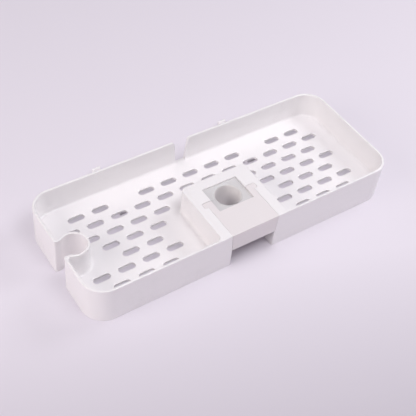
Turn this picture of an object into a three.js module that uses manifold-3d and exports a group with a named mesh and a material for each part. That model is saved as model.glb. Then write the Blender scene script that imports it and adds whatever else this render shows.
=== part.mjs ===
// Shower rod caddy: a perforated tray that clamps on a vertical shower rod.
// Millimetres, +Z up. The origin is on the rod's axis, level with the foot of the tray.
// X runs along the tray. -Y is the rear, the side of the lock block. +Y is the front, the side of the hooks.
import * as THREE from "three";
import { mergeVertices } from "three/addons/utils/BufferGeometryUtils.js";
import Module from "manifold-3d";

// Tray shell
const TRAY_LENGTH = 316.4;
const TRAY_WIDTH = 124.2;
const TRAY_HEIGHT = 39.4;
const CORNER_RADIUS = 20.7;
const WALL = 2.4;
const FLOOR_TOP = 12.6;
const FLOOR_THICKNESS = 2.4;
const FLOOR_FILLET = 3;
const EDGE_ROUND = 0.7;
// Distance from the rod's axis back to the outer face of the rear wall
const ROD_SETBACK = 44;

// Drain slots, in staggered rows
const SLOT_LENGTH = 16;
const SLOT_WIDTH = 6.2;
const SLOT_PITCH = 24;
const SLOT_ROW_SPACING = 14;
const SLOT_ROWS = 7;
const SLOT_FIELD_SHIFT = -0.8;
const SLOT_MARGIN = 6;

// Clamp: rod bore, grip pads, lock block and the housing round them
const ROD_BORE = 24;
const BORE_LIP = 1;
const PAD_WIDTH = 36.6;
const PAD_REACH = 14.5;
const PAD_RECESS = 1.6;
// The front pad reaches further down than the rear one, which ends with the lock block
const FRONT_PAD_SEAT = 6;
const BLOCK_WIDTH_TOP = 48.6;
const BLOCK_WIDTH_FOOT = 45;
const BLOCK_HEIGHT = 19.8;
const EAR_REACH = 3.7;
const EAR_LENGTH = 6;
const EAR_HEIGHT = 8;
const EAR_ROUND = 2;
const HOUSING_BAND = 10.2;
const HOUSING_FRONT = 25;
const HOUSING_CORNER = 5;
const HOUSING_HEEL = 4;
const SHELF_THICKNESS = 2.4;
const SHELF_RELIEF = 1.5;
const RIB = 2;

// C-shaped ring for a hand shower, at the left end
const RING_BORE = 22.8;
const RING_WALL = 2;
const RING_INSET = 13.7;
const RING_OFFSET = -4;
const RING_FLARE = 3;
const WEB_FILLET = 2.5;
const SLIT_WIDTH = 17.4;
const SLIT_ROUND = 2.4;
const SLIT_EDGE = 1;

// Notch in the front wall
const NOTCH_WIDTH_TOP = 15.6;
const NOTCH_WIDTH_FOOT = 10.2;
const NOTCH_ROUND = 4;

// Plug-in hooks, each below a place in the front row that has no slot
const HOOK_COLUMN = 3;
const HOOK_WIDTH = 8.6;
const HOOK_THICKNESS = 2.6;
const HOOK_DROP = 1.6;
const HOOK_REACH = 33;
const HOOK_BEND = 1.6;
const HOOK_TIP_RISE = 0.2;
const SOCKET_LENGTH = 24;
const SOCKET_WALL = 1.8;

// Clearance between separate pieces, and how far a cutter runs past the face it opens
const FIT = 0.3;
const OVERRUN = 1;
// Arc steps: a shape's arc is drawn in twice this many chords
const ARC_STEPS = 4;
const ROUND_STEPS = 3;
const ROUND_SIDES = 48;
const WELD = 1e-4;

// Places worked out from the sizes above
const REAR_FACE = -ROD_SETBACK;
const FRONT_FACE = REAR_FACE + TRAY_WIDTH;
const TRAY_MIDDLE = (REAR_FACE + FRONT_FACE) / 2;
const HALF_LENGTH = TRAY_LENGTH / 2;
const FLOOR_UNDERSIDE = FLOOR_TOP - FLOOR_THICKNESS;
const BLOCK_FOOT = TRAY_HEIGHT - BLOCK_HEIGHT;
const REAR_PAD_SEAT = BLOCK_FOOT + SHELF_THICKNESS;
const CRADLE_FOOT = FRONT_PAD_SEAT - SHELF_THICKNESS;
const PAD_TOP = TRAY_HEIGHT - PAD_RECESS;
const SPLIT = FIT / 2;
const HALF_BLOCK_TOP = BLOCK_WIDTH_TOP / 2;
const HALF_BLOCK_FOOT = BLOCK_WIDTH_FOOT / 2;
const HALF_HOUSING = HALF_BLOCK_TOP + HOUSING_BAND;
const EAR_TIP = HALF_BLOCK_TOP + EAR_REACH;
const EAR_SEAT = TRAY_HEIGHT - EAR_HEIGHT;
const CHEEK = HALF_BLOCK_TOP + FIT + WALL;
const RING = { x: RING_INSET - HALF_LENGTH, y: TRAY_MIDDLE + RING_OFFSET };
const RING_RADIUS = RING_BORE / 2 + RING_WALL;
const HOOK_PLACE = HOOK_COLUMN * SLOT_PITCH;
const SOCKET_REAR = FRONT_FACE - WALL - SOCKET_LENGTH;
const SOCKET_HALF = HOOK_WIDTH / 2 + FIT + SOCKET_WALL;

const wasm = await Module();
wasm.setup();

// A closed three.js geometry as a solid that can be joined and cut.
function solidOf(geometry) {
  geometry.deleteAttribute("normal");
  geometry.deleteAttribute("uv");
  const welded = mergeVertices(geometry, WELD);
  const corners = welded.index.array;
  const triVerts = [];
  for (let i = 0; i < corners.length; i += 3) {
    const [a, b, c] = corners.slice(i, i + 3);
    if (a !== b && b !== c && c !== a) triVerts.push(a, b, c);
  }
  return new wasm.Manifold(
    new wasm.Mesh({
      numProp: 3,
      vertProperties: new Float32Array(welded.attributes.position.array),
      triVerts: new Uint32Array(triVerts),
    }),
  );
}

// A finished solid as a named mesh.
function meshOf(name, solid, material) {
  const made = solid.getMesh();
  const geometry = new THREE.BufferGeometry();
  geometry.setAttribute("position", new THREE.BufferAttribute(made.vertProperties, 3));
  geometry.setIndex(new THREE.BufferAttribute(made.triVerts, 1));
  geometry.computeVertexNormals();
  const mesh = new THREE.Mesh(geometry, material);
  mesh.name = name;
  return mesh;
}

const join = (first, ...others) => others.reduce((whole, part) => whole.add(part), first);
const cut = (first, ...tools) => tools.reduce((whole, tool) => whole.subtract(tool), first);

// A box between two corners.
function block(x0, x1, y0, y1, z0, z1) {
  const geometry = new THREE.BoxGeometry(x1 - x0, y1 - y0, z1 - z0);
  geometry.translate((x0 + x1) / 2, (y0 + y1) / 2, (z0 + z1) / 2);
  return solidOf(geometry);
}

// A pair of boxes, mirrored left and right.
const pairOfBlocks = (x0, x1, ...rest) => join(block(x0, x1, ...rest), block(-x1, -x0, ...rest));

// A plan outline, or several, extruded upwards, with its end edges rounded.
function prism(outline, z0, z1, round = 0) {
  const geometry = new THREE.ExtrudeGeometry(outline, {
    depth: z1 - z0 - 2 * round,
    curveSegments: ARC_STEPS,
    bevelEnabled: round > 0,
    bevelThickness: round,
    bevelSize: round,
    bevelOffset: -round,
    bevelSegments: ROUND_STEPS,
  });
  geometry.translate(0, 0, z0 + round);
  return solidOf(geometry);
}

// An outline in X and Z, extruded along Y.
function extrudedAlongY(outline, y0, y1) {
  const geometry = new THREE.ExtrudeGeometry(outline, {
    depth: y1 - y0,
    curveSegments: ARC_STEPS,
    bevelEnabled: false,
  });
  geometry.rotateX(Math.PI / 2);
  geometry.translate(0, y1, 0);
  return solidOf(geometry);
}

// An outline in Y and Z, extruded along X.
function extrudedAlongX(outline, x0, x1) {
  const geometry = new THREE.ExtrudeGeometry(outline, {
    depth: x1 - x0,
    curveSegments: ARC_STEPS,
    bevelEnabled: false,
  });
  geometry.rotateX(Math.PI / 2);
  geometry.rotateZ(Math.PI / 2);
  geometry.translate(x0, 0, 0);
  return solidOf(geometry);
}

// A profile of radius and height pairs, turned about an upright axis.
function turned(profile, x, y) {
  const geometry = new THREE.LatheGeometry(profile, ROUND_SIDES);
  geometry.rotateX(Math.PI / 2);
  geometry.translate(x, y, 0);
  return solidOf(geometry);
}

const upright = (radius, x, y, z0, z1) =>
  turned(
    [
      new THREE.Vector2(0, z0),
      new THREE.Vector2(radius, z0),
      new THREE.Vector2(radius, z1),
      new THREE.Vector2(0, z1),
    ],
    x,
    y,
  );

const polygon = (...points) => new THREE.Shape(points.map(([x, y]) => new THREE.Vector2(x, y)));

// The tray's plan outline, drawn in from its outer face.
function trayOutline(inset) {
  const right = HALF_LENGTH - inset;
  const front = FRONT_FACE - inset;
  const rear = REAR_FACE + inset;
  const radius = CORNER_RADIUS - inset;
  const shape = new THREE.Shape();
  shape.absarc(right - radius, rear + radius, radius, -Math.PI / 2, 0);
  shape.absarc(right - radius, front - radius, radius, 0, Math.PI / 2);
  shape.absarc(radius - right, front - radius, radius, Math.PI / 2, Math.PI);
  shape.absarc(radius - right, rear + radius, radius, Math.PI, 1.5 * Math.PI);
  shape.closePath();
  return shape;
}

// The bin's plan outline: the inside of the walls, drawn round three sides of the clamp housing.
function binOutline() {
  const right = HALF_LENGTH - WALL;
  const front = FRONT_FACE - WALL;
  const rear = REAR_FACE + WALL;
  const radius = CORNER_RADIUS - WALL;
  const heel = HALF_HOUSING + HOUSING_HEEL;
  const nose = HALF_HOUSING - HOUSING_CORNER;
  const noseY = HOUSING_FRONT - HOUSING_CORNER;
  const shape = new THREE.Shape();
  shape.absarc(right - radius, rear + radius, radius, -Math.PI / 2, 0);
  shape.absarc(right - radius, front - radius, radius, 0, Math.PI / 2);
  shape.absarc(radius - right, front - radius, radius, Math.PI / 2, Math.PI);
  shape.absarc(radius - right, rear + radius, radius, Math.PI, 1.5 * Math.PI);
  shape.absarc(-heel, rear + HOUSING_HEEL, HOUSING_HEEL, -Math.PI / 2, 0);
  shape.absarc(-nose, noseY, HOUSING_CORNER, Math.PI, Math.PI / 2, true);
  shape.absarc(nose, noseY, HOUSING_CORNER, Math.PI / 2, 0, true);
  shape.absarc(heel, rear + HOUSING_HEEL, HOUSING_HEEL, Math.PI, 1.5 * Math.PI);
  shape.closePath();
  return shape;
}

// One drain slot's plan outline, round at both ends.
function slotOutline(x, y) {
  const radius = SLOT_WIDTH / 2;
  const reach = SLOT_LENGTH / 2 - radius;
  const shape = new THREE.Shape();
  shape.absarc(x + reach, y, radius, -Math.PI / 2, Math.PI / 2);
  shape.absarc(x - reach, y, radius, Math.PI / 2, 1.5 * Math.PI);
  shape.closePath();
  return shape;
}

// A plan outline as wide to the left as to the right, with round corners.
function roundedOutline(half, y0, y1, radius) {
  const shape = new THREE.Shape();
  shape.absarc(half - radius, y0 + radius, radius, -Math.PI / 2, 0);
  shape.absarc(half - radius, y1 - radius, radius, 0, Math.PI / 2);
  shape.absarc(radius - half, y1 - radius, radius, Math.PI / 2, Math.PI);
  shape.absarc(radius - half, y0 + radius, radius, Math.PI, 1.5 * Math.PI);
  shape.closePath();
  return shape;
}

// Distance from a point to a rectangle, zero inside it.
const distanceToBox = (x, y, x0, x1, y0, y1) =>
  Math.hypot(Math.max(x0 - x, 0, x - x1), Math.max(y0 - y, 0, y - y1));

// Whether a slot keeps its margin to the end walls, the housing, the ring and the hook sockets.
function slotHasRoom(x, y) {
  const radius = SLOT_WIDTH / 2;
  const reach = SLOT_LENGTH / 2 - radius;
  const endWall = HALF_LENGTH - WALL;
  const room = [x - reach, x, x + reach].map((px) =>
    Math.min(
      endWall - Math.abs(px),
      distanceToBox(px, y, -HALF_HOUSING, HALF_HOUSING, REAR_FACE, HOUSING_FRONT),
      Math.hypot(px - RING.x, y - RING.y) - RING_RADIUS,
      distanceToBox(Math.abs(px) - HOOK_PLACE, y, -SOCKET_HALF, SOCKET_HALF, SOCKET_REAR, FRONT_FACE) +
        SLOT_MARGIN / 2,
    ),
  );
  return Math.min(...room) - radius >= SLOT_MARGIN;
}

// Every drain slot on the staggered grid that has room.
function drainSlots() {
  const slots = [];
  const columns = Math.ceil(HALF_LENGTH / SLOT_PITCH);
  for (let row = 0; row < SLOT_ROWS; row += 1) {
    const y = TRAY_MIDDLE + SLOT_FIELD_SHIFT + ((SLOT_ROWS - 1) / 2 - row) * SLOT_ROW_SPACING;
    const stagger = row % 2 === 0 ? 0 : SLOT_PITCH / 2;
    for (let column = -columns; column <= columns; column += 1) {
      const x = column * SLOT_PITCH + stagger;
      if (slotHasRoom(x, y)) slots.push(slotOutline(x, y));
    }
  }
  return prism(slots, FLOOR_UNDERSIDE - OVERRUN, FLOOR_TOP + OVERRUN);
}

// The wedge-shaped way for the lock block, which runs on down to the foot as the opening for the rod.
function blockWay() {
  const top = HALF_BLOCK_TOP + FIT;
  const foot = HALF_BLOCK_FOOT + FIT;
  const lean = (top - foot) / BLOCK_HEIGHT;
  const mouth = top + lean * OVERRUN;
  const outline = polygon(
    [-foot, -OVERRUN],
    [foot, -OVERRUN],
    [foot, BLOCK_FOOT],
    [mouth, TRAY_HEIGHT + OVERRUN],
    [-mouth, TRAY_HEIGHT + OVERRUN],
    [-foot, BLOCK_FOOT],
  );
  return extrudedAlongY(outline, REAR_FACE - OVERRUN, SPLIT);
}

// The bar across the block whose ends are its ears, or with a gap the pocket that it drops into.
const earBar = (gap, rise) =>
  prism(
    roundedOutline(EAR_TIP + gap, -EAR_LENGTH - gap, gap - SPLIT, EAR_ROUND + gap),
    EAR_SEAT - gap,
    TRAY_HEIGHT + rise,
  );

// Walls inside the clamp housing: cheeks beside the block, ear pockets and the front pad's cradle.
function clampWalls() {
  const inner = HALF_BLOCK_FOOT;
  const cheeks = pairOfBlocks(inner, CHEEK, REAR_FACE + WALL / 2, SPLIT + RIB, 0, TRAY_HEIGHT);
  const earWalls = pairOfBlocks(
    inner,
    EAR_TIP + FIT + RIB,
    -EAR_LENGTH - FIT - RIB,
    SPLIT + RIB,
    EAR_SEAT - FIT - RIB,
    TRAY_HEIGHT,
  );
  const cradle = block(-CHEEK, CHEEK, SPLIT, PAD_REACH + WALL, CRADLE_FOOT, TRAY_HEIGHT);
  const cores = pairOfBlocks(
    PAD_WIDTH / 2 + RIB,
    CHEEK - RIB,
    SPLIT + RIB,
    PAD_REACH,
    CRADLE_FOOT - OVERRUN,
    TRAY_HEIGHT - WALL,
  );
  return join(cheeks, earWalls, cut(cradle, cores));
}

// What is cut out of the clamp housing for the block, its ears, the front pad and the rod.
function clampCuts() {
  const half = PAD_WIDTH / 2;
  const padPocket = block(-half, half, 0, PAD_REACH, FRONT_PAD_SEAT, TRAY_HEIGHT + OVERRUN);
  return join(blockWay(), earBar(FIT, OVERRUN), padPocket, rodRelief(FRONT_PAD_SEAT));
}

// The hole for the rod through the shelf that carries a pad.
const rodRelief = (seat) => upright(ROD_BORE / 2 + SHELF_RELIEF, 0, 0, -OVERRUN, seat + OVERRUN);

// The C-ring's outside: a post that flares into the floor.
function ringPost() {
  const profile = [new THREE.Vector2(0, 0), new THREE.Vector2(RING_RADIUS, 0)];
  profile.push(new THREE.Vector2(RING_RADIUS, FLOOR_UNDERSIDE));
  profile.push(new THREE.Vector2(RING_RADIUS + RING_FLARE, FLOOR_UNDERSIDE));
  for (let step = 0; step <= ARC_STEPS; step += 1) {
    const turn = (step / ARC_STEPS) * (Math.PI / 2);
    const radius = RING_RADIUS + RING_FLARE * (1 - Math.sin(turn));
    profile.push(new THREE.Vector2(radius, FLOOR_TOP + RING_FLARE * (1 - Math.cos(turn))));
  }
  profile.push(new THREE.Vector2(RING_RADIUS, TRAY_HEIGHT), new THREE.Vector2(0, TRAY_HEIGHT));
  return turned(profile, RING.x, RING.y);
}

// The webs that lead the ring's two ends into the end wall, each hollowed by a fillet.
function ringWebs() {
  const wallFace = WALL - HALF_LENGTH;
  const x = wallFace + WEB_FILLET;
  const reach = Math.sqrt((RING_RADIUS + WEB_FILLET) ** 2 - (x - RING.x) ** 2);
  const lean = Math.atan2(reach, x - RING.x);
  const shape = new THREE.Shape();
  shape.moveTo(wallFace - WALL / 2, RING.y - reach);
  shape.absarc(x, RING.y - reach, WEB_FILLET, Math.PI, Math.PI - lean, true);
  shape.absarc(x, RING.y + reach, WEB_FILLET, lean - Math.PI, -Math.PI, true);
  shape.lineTo(wallFace - WALL / 2, RING.y + reach);
  shape.closePath();
  return prism(shape, 0, TRAY_HEIGHT);
}

// The ring's bore, with the slit that opens it through the end wall and is rounded at both ends.
function ringBore() {
  const bottom = -OVERRUN;
  const top = TRAY_HEIGHT + OVERRUN;
  const radius = RING_BORE / 2;
  const half = SLIT_WIDTH / 2;
  const turn = half + SLIT_ROUND;
  const edge = half + SLIT_EDGE;
  const turnX = RING.x - Math.sqrt((radius + SLIT_ROUND) ** 2 - turn ** 2);
  const edgeX = SLIT_EDGE - HALF_LENGTH;
  const lean = Math.atan2(turn, turnX - RING.x);
  const shape = new THREE.Shape();
  shape.moveTo(RING.x, RING.y);
  shape.absarc(turnX, RING.y + turn, SLIT_ROUND, lean - Math.PI, -Math.PI / 2, true);
  shape.absarc(edgeX, RING.y + edge, SLIT_EDGE, -Math.PI / 2, -Math.PI, true);
  shape.lineTo(-HALF_LENGTH - OVERRUN, RING.y + edge);
  shape.lineTo(-HALF_LENGTH - OVERRUN, RING.y - edge);
  shape.absarc(edgeX, RING.y - edge, SLIT_EDGE, Math.PI, Math.PI / 2, true);
  shape.absarc(turnX, RING.y - turn, SLIT_ROUND, Math.PI / 2, Math.PI - lean, true);
  shape.closePath();
  return join(upright(radius, RING.x, RING.y, bottom, top), prism(shape, bottom, top));
}

// The notch in the front wall: sloping sides that round over into the rim.
function frontNotch() {
  const foot = NOTCH_WIDTH_FOOT / 2;
  const top = NOTCH_WIDTH_TOP / 2;
  const lean = (top - foot) / (TRAY_HEIGHT - FLOOR_TOP);
  const bend = top - lean * NOTCH_ROUND;
  const shape = new THREE.Shape();
  shape.moveTo(-foot, FLOOR_TOP);
  shape.lineTo(foot, FLOOR_TOP);
  shape.lineTo(bend, TRAY_HEIGHT - NOTCH_ROUND);
  shape.quadraticCurveTo(top, TRAY_HEIGHT, top + NOTCH_ROUND, TRAY_HEIGHT);
  shape.lineTo(top + NOTCH_ROUND, TRAY_HEIGHT + OVERRUN);
  shape.lineTo(-top - NOTCH_ROUND, TRAY_HEIGHT + OVERRUN);
  shape.lineTo(-top - NOTCH_ROUND, TRAY_HEIGHT);
  shape.quadraticCurveTo(-top, TRAY_HEIGHT, -bend, TRAY_HEIGHT - NOTCH_ROUND);
  shape.closePath();
  return extrudedAlongY(shape, FRONT_FACE - WALL - FLOOR_FILLET, FRONT_FACE + OVERRUN);
}

// The sleeve under the floor that a hook plugs into, and the hole in it.
function hookSocket(side) {
  const x = side * HOOK_PLACE;
  const front = FRONT_FACE - WALL / 2;
  const top = FLOOR_TOP - FLOOR_THICKNESS / 2;
  return block(x - SOCKET_HALF, x + SOCKET_HALF, SOCKET_REAR, front, 0, top);
}

function hookHole(side) {
  const x = side * HOOK_PLACE;
  const half = HOOK_WIDTH / 2 + FIT;
  const low = HOOK_DROP - FIT;
  const high = HOOK_DROP + HOOK_THICKNESS + FIT;
  return block(x - half, x + half, SOCKET_REAR + SOCKET_WALL, FRONT_FACE + OVERRUN, low, high);
}

function tray() {
  const outside = prism(trayOutline(0), 0, TRAY_HEIGHT, EDGE_ROUND);
  const bin = prism(binOutline(), FLOOR_TOP, TRAY_HEIGHT + 2 * FLOOR_FILLET, FLOOR_FILLET);
  const underside = prism(trayOutline(WALL), -OVERRUN, FLOOR_UNDERSIDE);
  const housingHollow = block(
    WALL - HALF_HOUSING,
    HALF_HOUSING - WALL,
    REAR_FACE + WALL,
    HOUSING_FRONT - WALL,
    -OVERRUN,
    TRAY_HEIGHT - WALL,
  );
  const shell = cut(outside, bin, underside, housingHollow);
  const ring = join(ringPost(), ringWebs()).intersect(outside);
  const whole = join(shell, clampWalls(), ring, hookSocket(-1), hookSocket(1));
  return cut(whole, clampCuts(), ringBore(), frontNotch(), drainSlots(), hookHole(-1), hookHole(1));
}

// Half of the soft grip on its seat, with half of the rod's bore, lipped at the top. Side 1 is in front.
function gripPad(side, seat) {
  const half = PAD_WIDTH / 2 - FIT;
  const ends = [side * SPLIT, side * (PAD_REACH - FIT)];
  const body = block(-half, half, Math.min(...ends), Math.max(...ends), seat + FIT, PAD_TOP);
  const radius = ROD_BORE / 2;
  const bore = turned(
    [
      new THREE.Vector2(0, seat - OVERRUN),
      new THREE.Vector2(radius, seat - OVERRUN),
      new THREE.Vector2(radius, PAD_TOP - BORE_LIP),
      new THREE.Vector2(radius + BORE_LIP, PAD_TOP),
      new THREE.Vector2(radius + BORE_LIP, PAD_TOP + OVERRUN),
      new THREE.Vector2(0, PAD_TOP + OVERRUN),
    ],
    0,
    0,
  );
  return cut(body, bore);
}

// The lock block: a wedge, cored from below, with a pad pocket between two arms that end in ears.
function lockBlock() {
  const outline = polygon(
    [-HALF_BLOCK_FOOT, BLOCK_FOOT],
    [HALF_BLOCK_FOOT, BLOCK_FOOT],
    [HALF_BLOCK_TOP, TRAY_HEIGHT],
    [-HALF_BLOCK_TOP, TRAY_HEIGHT],
  );
  const wedge = extrudedAlongY(outline, REAR_FACE, -SPLIT);
  const half = PAD_WIDTH / 2;
  const padPocket = block(-half, half, -PAD_REACH, 0, REAR_PAD_SEAT, TRAY_HEIGHT + OVERRUN);
  const coreFront = -PAD_REACH - WALL;
  const cores = pairOfBlocks(
    RIB / 2,
    HALF_BLOCK_FOOT - WALL,
    REAR_FACE + WALL,
    coreFront,
    BLOCK_FOOT - OVERRUN,
    TRAY_HEIGHT - WALL,
  );
  return cut(join(wedge, earBar(0, 0)), padPocket, cores, rodRelief(REAR_PAD_SEAT));
}

// A hook: a flat bar that plugs into its socket and turns up at the tip.
function hook(side) {
  const low = HOOK_DROP;
  const high = HOOK_DROP + HOOK_THICKNESS;
  const rear = SOCKET_REAR + SOCKET_WALL + FIT;
  const tip = FRONT_FACE + HOOK_REACH;
  const inner = HOOK_BEND;
  const outer = HOOK_BEND + HOOK_THICKNESS;
  const top = high + HOOK_BEND + HOOK_TIP_RISE;
  const shape = new THREE.Shape();
  shape.moveTo(rear, low);
  shape.absarc(tip - outer, low + outer, outer, -Math.PI / 2, 0);
  shape.absarc(tip - HOOK_THICKNESS / 2, top, HOOK_THICKNESS / 2, 0, Math.PI);
  shape.absarc(tip - outer, low + outer, inner, 0, -Math.PI / 2, true);
  shape.lineTo(rear, high);
  shape.closePath();
  const x = side * HOOK_PLACE;
  return extrudedAlongX(shape, x - HOOK_WIDTH / 2, x + HOOK_WIDTH / 2);
}

const white = new THREE.MeshStandardMaterial({ color: 0xf4f1f3, roughness: 0.35, metalness: 0 });
const warmWhite = new THREE.MeshStandardMaterial({ color: 0xeee7e5, roughness: 0.45, metalness: 0 });
const softGrey = new THREE.MeshStandardMaterial({ color: 0xcfd1d0, roughness: 0.6, metalness: 0 });

const carrier = new THREE.Group();
carrier.add(
  meshOf("tray", tray(), white),
  meshOf("front_grip_pad", gripPad(1, FRONT_PAD_SEAT), softGrey),
  meshOf("left_hook", hook(-1), white),
  meshOf("right_hook", hook(1), white),
);
const lock = new THREE.Group();
lock.add(
  meshOf("lock_block", lockBlock(), warmWhite),
  meshOf("rear_grip_pad", gripPad(-1, REAR_PAD_SEAT), softGrey),
);
const caddy = new THREE.Group();
caddy.add(carrier, lock);

export default caddy;
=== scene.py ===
"""Looks of the shower rod caddy: moulded shell, soft grips, hooks, finishes, studio light and camera.

Forms are modelled in millimetres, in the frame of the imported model, and become metres as finished pieces.
The origin is on the rod's axis, level with the foot of the tray. -Y is the rear, the side of the lock block.
"""

import logging
import math
from dataclasses import dataclass
from enum import Enum
from typing import Callable, Iterable, Optional, Sequence, Union

import bmesh
import bpy
from mathutils import Matrix, Vector


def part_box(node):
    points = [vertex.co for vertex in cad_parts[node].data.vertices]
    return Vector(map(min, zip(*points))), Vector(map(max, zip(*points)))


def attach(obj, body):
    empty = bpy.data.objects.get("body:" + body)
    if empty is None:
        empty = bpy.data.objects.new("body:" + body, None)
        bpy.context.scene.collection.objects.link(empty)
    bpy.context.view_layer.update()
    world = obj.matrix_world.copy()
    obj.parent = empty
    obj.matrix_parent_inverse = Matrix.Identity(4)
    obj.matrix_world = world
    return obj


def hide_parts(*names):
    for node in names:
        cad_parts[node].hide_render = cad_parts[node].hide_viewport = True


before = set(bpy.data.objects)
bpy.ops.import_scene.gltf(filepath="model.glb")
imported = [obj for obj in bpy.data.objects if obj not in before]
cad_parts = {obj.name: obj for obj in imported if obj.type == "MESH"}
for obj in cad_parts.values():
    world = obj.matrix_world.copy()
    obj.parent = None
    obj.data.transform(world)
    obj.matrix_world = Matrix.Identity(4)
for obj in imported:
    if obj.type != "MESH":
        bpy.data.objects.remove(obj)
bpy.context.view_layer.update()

log = logging.getLogger("caddy")

MM = 0.001
QUARTER = math.pi / 2

# How far a cutter runs past a face, the clearance between pieces, and how near points are merged
OVERRUN = 1.0
FIT = 0.3
WELD = 0.004

# Chords of a round corner, of a rounded edge and of a whole circle
ARC_STEPS = 12
EDGE_STEPS = 4
ROUND_SIDES = 96

# Turns of an edge in degrees: up to here flat, up to here shaded smooth, from here on softened
FLAT_TURN = 0.4
SMOOTH_TURN = 35.0
SHARP_TURN = 40.0

# Sockets of a Mix node that mixes colours, and the middle value of a noise
MIX_SHARE, MIX_START, MIX_END, MIX_RESULT = 0, 6, 7, 2
NOISE_MEAN = 0.5

Point = tuple[float, float]
Colour = tuple[float, float, float]
Operand = Union["Wire", int, float]


class Blend(Enum):
    """How one form acts on another."""

    JOIN = "UNION"
    CUT = "DIFFERENCE"
    KEEP = "INTERSECT"


class Body(Enum):
    """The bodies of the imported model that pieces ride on."""

    CARRIER = "carrier"
    LOCK = "lock"


class MaterialSlot(Enum):
    """The record's material slots."""

    WHITE = "white_plastic"
    WARM = "warm_white_plastic"
    GRIP = "grey_grip"


def arc(x: float, y: float, radius: float, start: float, end: float, steps: int = ARC_STEPS) -> list[Point]:
    """Draws an arc in chords.

    Args:
        x: The centre's first coordinate.
        y: The centre's second coordinate.
        radius: The arc's radius.
        start: The angle of its first point, in radians.
        end: The angle of its last point, in radians.
        steps: The number of chords.

    Returns:
        The arc's points, both ends included.
    """
    angles = [start + (end - start) * step / steps for step in range(steps + 1)]
    return [(x + radius * math.cos(angle), y + radius * math.sin(angle)) for angle in angles]


def circle(x: float, y: float, radius: float) -> list[Point]:
    """Draws a whole circle in chords."""
    return arc(x, y, radius, 0, math.tau * (1 - 1 / ROUND_SIDES), ROUND_SIDES - 1)


def rounding(radius: float) -> list[Point]:
    """Returns a quarter round as pairs of inset and rise, from upright to level."""
    return [(radius - x, y) for x, y in arc(0, 0, radius, 0, QUARTER, EDGE_STEPS)]


def level(outline: Iterable[Point], z: float) -> list[Vector]:
    """Returns a plan outline as a ring at one height."""
    return [Vector((x, y, z)) for x, y in outline]


def upright(outline: Iterable[Point], y: float) -> list[Vector]:
    """Returns an outline in X and Z as a ring at one place in Y."""
    return [Vector((x, y, z)) for x, z in outline]


def rectangle(x0: float, x1: float, y0: float, y1: float) -> list[Point]:
    """Returns a rectangle's corners, anticlockwise."""
    return [(x0, y0), (x1, y0), (x1, y1), (x0, y1)]


def rounded(half: float, y0: float, y1: float, radius: float) -> list[Point]:
    """Draws a rectangle with round corners, as wide to the left as to the right.

    Args:
        half: Half of its width.
        y0: Its rear edge.
        y1: Its front edge.
        radius: The corners' radius.

    Returns:
        The outline's points, anticlockwise.
    """
    side = half - radius
    corners = ((side, y0 + radius), (side, y1 - radius), (-side, y1 - radius), (-side, y0 + radius))
    points = []
    for turn, (x, y) in enumerate(corners, -1):
        points += arc(x, y, radius, turn * QUARTER, (turn + 1) * QUARTER)
    return points


def box_of(node: str) -> tuple[Vector, Vector]:
    """Returns a node's lowest and highest corners in millimetres."""
    low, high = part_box(node)
    return low / MM, high / MM


def in_scene(name: str, data: bpy.types.ID) -> bpy.types.Object:
    """Makes an object and links it into the scene.

    Args:
        name: The object's name.
        data: Its mesh, lamp or camera.

    Returns:
        The object.
    """
    made = bpy.data.objects.new(name, data)
    bpy.context.scene.collection.objects.link(made)
    return made


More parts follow.
